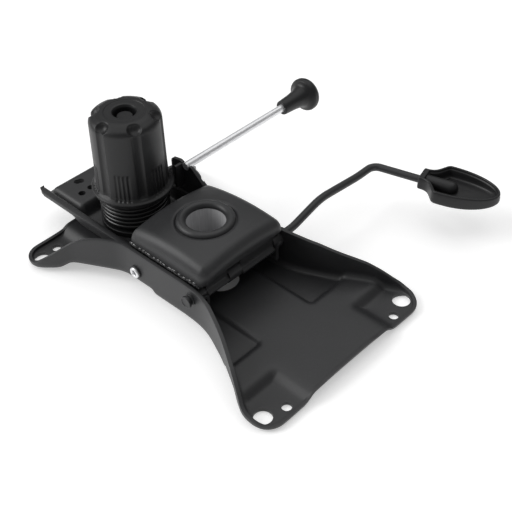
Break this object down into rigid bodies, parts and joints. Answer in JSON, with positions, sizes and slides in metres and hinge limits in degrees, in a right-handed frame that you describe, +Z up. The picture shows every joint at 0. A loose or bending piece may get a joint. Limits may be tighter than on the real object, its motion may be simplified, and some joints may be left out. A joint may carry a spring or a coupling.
{
  "type": "chair push back mechanism",
  "caption": "Office chair tilt base: flanged seat plate, pivoting channel with gas lift socket, spring tension knob, height lever and tilt lock.",
  "frame": {"origin": "Centre of the four large seat holes, on the underside of the seat plate's pads.", "axes": "+Z up as the part lies on its seat side, toward the floor in use. -X is the tension knob's end, +Y the side of the two levers."},
  "size_m": [0.277, 0.2679, 0.1084],
  "materials": {
    "black_steel": "satin",
    "black_plastic": "satin",
    "zinc_steel": "satin"
  },
  "bodies": {
    "seat": {"seat_plate": "black_steel", "stop_pins": "zinc_steel", "stop_washers": "black_steel", "pivot_sleeves": "black_steel", "tension_bolt": "black_steel"},
    "base": {"base_channel": "black_steel", "cover": "black_steel", "taper_socket": "black_steel", "socket_brace": "black_steel", "weld_beads": "black_steel", "rear_tabs": "black_steel", "lock_bracket": "black_steel", "lock_guide": "black_steel", "spring_seat_lower": "black_plastic"},
    "upper_seat": {"spring_seat_upper": "black_plastic", "tension_spring": "black_steel"},
    "knob": {"tension_knob": "black_plastic", "knob_nut": "zinc_steel"},
    "lever": {"lift_rod": "black_steel", "lift_tongue": "black_steel", "lever_caps": "black_steel", "paddle": "black_plastic"},
    "lock": {"lock_rod": "zinc_steel", "lock_slide": "black_steel", "lock_knob": "black_plastic"}
  },
  "joints": [
    {"name": "tilt", "type": "hinge", "parent": "seat", "child": "base", "pos_m": [0.0213, 0, 0.0268], "axis": [0, 1, 0], "range_deg": [0, 7.5], "stiffness_Nm_per_rad": 60, "springref_deg": -4.01, "deforming": ["tension_spring"]},
    {"name": "knob_travel", "type": "slide", "parent": "seat", "child": "upper_seat", "axis": [0, 0, 1], "range_m": [0, 0.0088], "deforming": ["tension_spring"]},
    {"name": "knob_turn", "type": "hinge", "parent": "upper_seat", "child": "knob", "pos_m": [-0.0842, 0, 0], "axis": [0, 0, 1], "range_deg": [0, 1800]},
    {"name": "lever_lift", "type": "hinge", "parent": "base", "child": "lever", "pos_m": [0.0213, 0, 0.0268], "axis": [0, 1, 0], "range_deg": [0, 10]},
    {"name": "tilt_lock", "type": "slide", "parent": "base", "child": "lock", "axis": [0, 1, 0], "range_m": [0, 0.007]}
  ],
  "couplings": [
    {"joint": "knob_travel", "follows": "knob_turn", "m_per_rad": 0.00027852}
  ]
}
